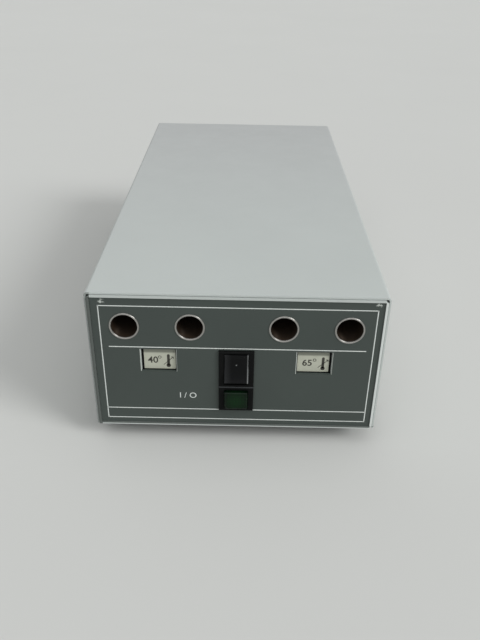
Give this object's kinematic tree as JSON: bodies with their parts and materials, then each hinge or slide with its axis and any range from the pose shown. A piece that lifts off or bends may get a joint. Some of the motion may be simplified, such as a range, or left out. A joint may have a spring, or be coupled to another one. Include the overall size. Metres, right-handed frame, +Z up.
{
  "type": "dry block heater",
  "caption": "Flat bench warmer: a long sheet-metal case with horizontal heated wells opening through a dark front plate, lit temperature legends, a mains rocker and a pilot lamp.",
  "frame": {"origin": "on the bench, under the middle of the whole object", "axes": "+X right seen from the front, +Y from front to back, +Z up"},
  "size_m": [0.2026, 0.431, 0.1238],
  "materials": {
    "case_paint": "pale grey-green enamel",
    "fascia_paint": "dark grey-green satin paint with white print",
    "polished_steel": "drawn stainless tube with a polished mouth",
    "plain_steel": "plain sheet and bar steel",
    "zinc_steel": "zinc plated fasteners",
    "block_aluminium": "milled aluminium",
    "sensor_ceramic": "unglazed ceramic body",
    "insulation_board": "rigid mineral board",
    "black_plastic": "black moulded plastic",
    "rocker_plastic": "black moulded plastic, satin",
    "green_lens": "dark green translucent plastic",
    "legend_plastic": "cream translucent plastic",
    "lamp_glass": "clear glass",
    "contact_brass": "bare brass",
    "strip_plastic": "off-white plastic",
    "wire_cover": "wire insulation",
    "foot_rubber": "black rubber"
  },
  "bodies": {
    "case": {"base_plate": "case_paint", "block_lower_left": "block_aluminium", "block_lower_right": "block_aluminium", "block_screws": "zinc_steel", "block_upper_left": "block_aluminium", "block_upper_right": "block_aluminium", "cartridge_heater_left": "plain_steel", "cartridge_heater_right": "plain_steel", "clamp_bolts_left": "zinc_steel", "clamp_bolts_right": "zinc_steel", "fascia": "fascia_paint", "foot_front_left": "foot_rubber", "foot_front_right": "foot_rubber", "foot_nuts": "zinc_steel", "foot_rear_left": "foot_rubber", "foot_rear_right": "foot_rubber", "foot_screws": "zinc_steel", "frame_screws": "zinc_steel", "front_frame": "case_paint", "hood": "case_paint", "hood_screws": "zinc_steel", "inlet_housing": "black_plastic", "inlet_pins": "contact_brass", "inlet_screws": "zinc_steel", "insulation_lower": "insulation_board", "insulation_upper": "insulation_board", "legend_housing_left": "black_plastic", "legend_housing_right": "black_plastic", "legend_lamp_left": "lamp_glass", "legend_lamp_right": "lamp_glass", "legend_plate_left": "legend_plastic", "legend_plate_right": "legend_plastic", "pilot_housing": "black_plastic", "pilot_lamp": "lamp_glass", "pilot_lens": "green_lens", "rear_frame": "case_paint", "support_front": "plain_steel", "support_rear": "plain_steel", "support_rivets": "zinc_steel", "switch_blades": "contact_brass", "switch_housing": "black_plastic", "terminal_screws": "zinc_steel", "terminal_strip": "strip_plastic", "thermal_cutout_left": "sensor_ceramic", "thermal_cutout_right": "sensor_ceramic", "thermostat_left": "sensor_ceramic", "thermostat_right": "sensor_ceramic", "well_caps": "plain_steel", "well_tube_1": "polished_steel", "well_tube_2": "polished_steel", "well_tube_3": "polished_steel", "well_tube_4": "polished_steel", "wire_clips": "strip_plastic", "wiring_front": "wire_cover", "wiring_rear": "wire_cover"},
    "rocker": {"mains_rocker": "rocker_plastic", "rocker_plunger": "contact_brass"},
    "bridge": {"contact_bridge": "contact_brass"},
    "drawer": {"fuse_drawer": "black_plastic", "fuses": "lamp_glass"}
  },
  "joints": [
    {"name": "rocker_hinge", "type": "hinge", "parent": "case", "child": "rocker", "pos_m": [0, -0.20684, 0.0661], "axis": [1, 0, 0], "range_deg": [0, 20]},
    {"name": "bridge_hinge", "type": "hinge", "parent": "case", "child": "bridge", "pos_m": [0, -0.19494, 0.0661], "axis": [1, 0, 0], "range_deg": [-12, 0]},
    {"name": "fuse_drawer_slide", "type": "slide", "parent": "case", "child": "drawer", "axis": [0, 1, 0], "range_m": [0, 0.022]}
  ],
  "couplings": [
    {"joint": "bridge_hinge", "follows": "rocker_hinge", "ratio": -0.6}
  ]
}
